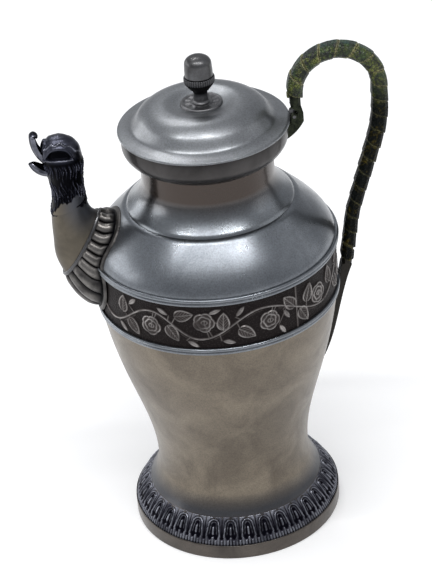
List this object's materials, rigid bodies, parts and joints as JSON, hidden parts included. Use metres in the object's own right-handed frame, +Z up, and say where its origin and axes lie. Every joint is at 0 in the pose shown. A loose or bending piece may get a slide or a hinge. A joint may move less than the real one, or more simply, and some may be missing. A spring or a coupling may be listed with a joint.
{
  "type": "coffee jug",
  "caption": "Baluster-shaped pewter coffee jug with a hinged domed lid, a bird-head spout, a cast rose band and a tall loop handle bound with a flat strip.",
  "frame": {"origin": "centre of the flat underside of the foot", "axes": "+Z up along the axis of the body, -X towards the spout, +X towards the handle and hinge, +Y across"},
  "size_m": [0.2112, 0.1478, 0.3119],
  "materials": {
    "pewter_bright": "worn satin pewter",
    "pewter_body": "dull warm grey pewter with fine scratches",
    "pewter_dark": "cast pewter, darkened in the recesses",
    "pewter_black": "blackened cast pewter, rubbed on the high spots",
    "handle_metal": "dull grey-brown metal",
    "binding": "scaly leather strip, dark green with yellow-green and black patches"
  },
  "bodies": {
    "jug": {"foot_ring": "pewter_body", "base_plate": "pewter_body", "leaf_tip_border": "pewter_dark", "belly": "pewter_body", "lower_bead": "pewter_dark", "rose_band": "pewter_dark", "upper_moulding": "pewter_bright", "shoulder": "pewter_bright", "neck": "pewter_bright", "mouth_collar": "pewter_bright", "strainer": "pewter_bright", "spout_socket": "pewter_black", "spout_rim": "pewter_black", "spout_breast": "pewter_body", "bird_head": "pewter_black", "upper_bill": "pewter_black", "lower_bill": "pewter_black", "handle": "handle_metal", "handle_binding": "binding", "hinge_pin": "handle_metal"},
    "lid": {"lid_shell": "pewter_bright", "lid_bezel": "pewter_bright", "lid_knuckle": "pewter_bright", "finial_rosette": "pewter_dark", "finial_stem": "pewter_dark", "finial_acorn": "pewter_dark", "fixing_nut": "pewter_bright"}
  },
  "joints": [
    {"name": "lid_hinge", "type": "hinge", "parent": "jug", "child": "lid", "pos_m": [0.0523, 0, 0.26645], "axis": [0, 1, 0], "range_deg": [0, 36]}
  ]
}
